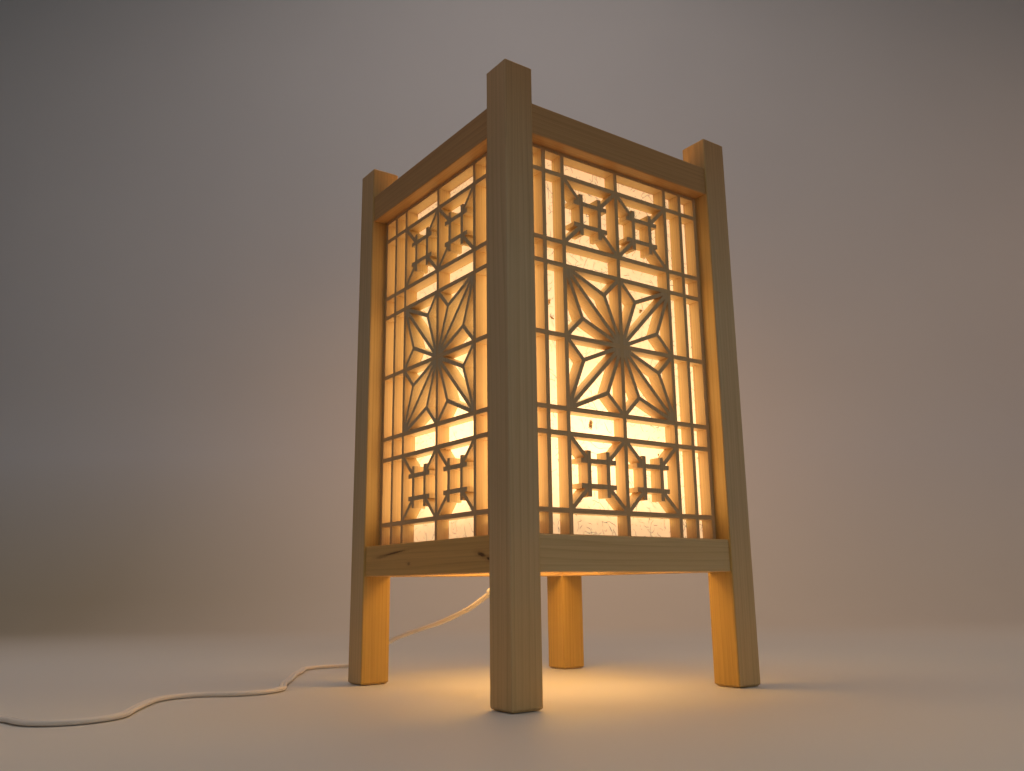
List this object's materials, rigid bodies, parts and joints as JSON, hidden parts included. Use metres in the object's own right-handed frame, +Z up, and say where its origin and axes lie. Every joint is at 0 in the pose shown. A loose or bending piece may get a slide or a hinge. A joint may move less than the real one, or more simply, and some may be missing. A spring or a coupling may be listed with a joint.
{
  "type": "andon floor lamp",
  "caption": "Square wooden andon lamp with kumiko lattice sides backed by glowing washi, open top, short legs, a bulb on a crossbar and a flat cord with switch and plug.",
  "frame": {"origin": "centre of the footprint on the floor", "axes": "+Z up along the posts, +X to the lamp's right, -Y towards its front side; the cord leaves under the rear side and lies to -X"},
  "size_m": [0.6114, 0.3285, 0.387],
  "materials": {
    "frame_wood": "planed unfinished softwood, satin",
    "kumiko_wood": "fine planed softwood strips, satin",
    "washi_paper": "translucent handmade paper with long fibres",
    "holder_plastic": "moulded, satin",
    "brass": "plain",
    "screw_steel": "zinc plated",
    "frosted_glass": "inside frosted, lit",
    "clear_glass": "clear",
    "filament_wire": "glowing wire",
    "cap_metal": "rolled sheet",
    "black_glass": "black glass bead",
    "cord_white": "soft vinyl",
    "tie_white": "twist tie",
    "switch_plastic": "moulded, satin",
    "rocker_plastic": "moulded, gloss",
    "plug_plastic": "moulded, satin",
    "blade_metal": "nickel plated brass"
  },
  "bodies": {
    "lamp": {"post_front_left": "frame_wood", "post_front_right": "frame_wood", "post_rear_left": "frame_wood", "post_rear_right": "frame_wood", "front_lower_rail": "frame_wood", "front_top_rail": "frame_wood", "right_lower_rail": "frame_wood", "right_top_rail": "frame_wood", "rear_lower_rail": "frame_wood", "rear_top_rail": "frame_wood", "left_lower_rail": "frame_wood", "left_top_rail": "frame_wood", "front_panel_frame": "kumiko_wood", "front_panel_uprights": "kumiko_wood", "front_panel_crosspieces": "kumiko_wood", "front_panel_igeta": "kumiko_wood", "front_panel_asanoha": "kumiko_wood", "front_washi": "washi_paper", "right_panel_frame": "kumiko_wood", "right_panel_uprights": "kumiko_wood", "right_panel_crosspieces": "kumiko_wood", "right_panel_igeta": "kumiko_wood", "right_panel_asanoha": "kumiko_wood", "right_washi": "washi_paper", "rear_panel_frame": "kumiko_wood", "rear_panel_uprights": "kumiko_wood", "rear_panel_crosspieces": "kumiko_wood", "rear_panel_igeta": "kumiko_wood", "rear_panel_asanoha": "kumiko_wood", "rear_washi": "washi_paper", "left_panel_frame": "kumiko_wood", "left_panel_uprights": "kumiko_wood", "left_panel_crosspieces": "kumiko_wood", "left_panel_igeta": "kumiko_wood", "left_panel_asanoha": "kumiko_wood", "left_washi": "washi_paper", "socket_crossbar": "frame_wood", "lampholder_body": "holder_plastic", "lampholder_screw_shell": "brass", "lampholder_contact": "brass", "lampholder_terminals": "brass", "lampholder_screws": "screw_steel", "cord_boot": "cord_white", "cord_lamp_side": "cord_white", "cord_switch_side": "cord_white", "cord_coil": "cord_white", "cord_plug_side": "cord_white", "coil_ties": "tie_white", "switch_base": "switch_plastic", "switch_cover": "switch_plastic", "plug_body": "plug_plastic", "plug_blades": "blade_metal"},
    "bulb_lift": {"bulb_insulator": "black_glass"},
    "bulb": {"bulb_cap": "cap_metal", "bulb_glass": "frosted_glass", "bulb_stem": "clear_glass", "bulb_filament": "filament_wire"},
    "switch_rocker": {"switch_rocker": "rocker_plastic"}
  },
  "joints": [
    {"name": "bulb_lift", "type": "slide", "parent": "lamp", "child": "bulb_lift", "axis": [0, 0, 1], "range_m": [0, 0.0113]},
    {"name": "bulb_unscrew", "type": "hinge", "parent": "bulb_lift", "child": "bulb", "pos_m": [0, 0, 0.112], "axis": [0, 0, 1], "range_deg": [0, 1440]},
    {"name": "switch_rocker", "type": "hinge", "parent": "lamp", "child": "switch_rocker", "pos_m": [-0.3915, 0.064, 0.011], "axis": [0, 1, 0], "range_deg": [0, 14]}
  ],
  "couplings": [
    {"joint": "bulb_lift", "follows": "bulb_unscrew", "m_per_rad": 0.00044882}
  ]
}
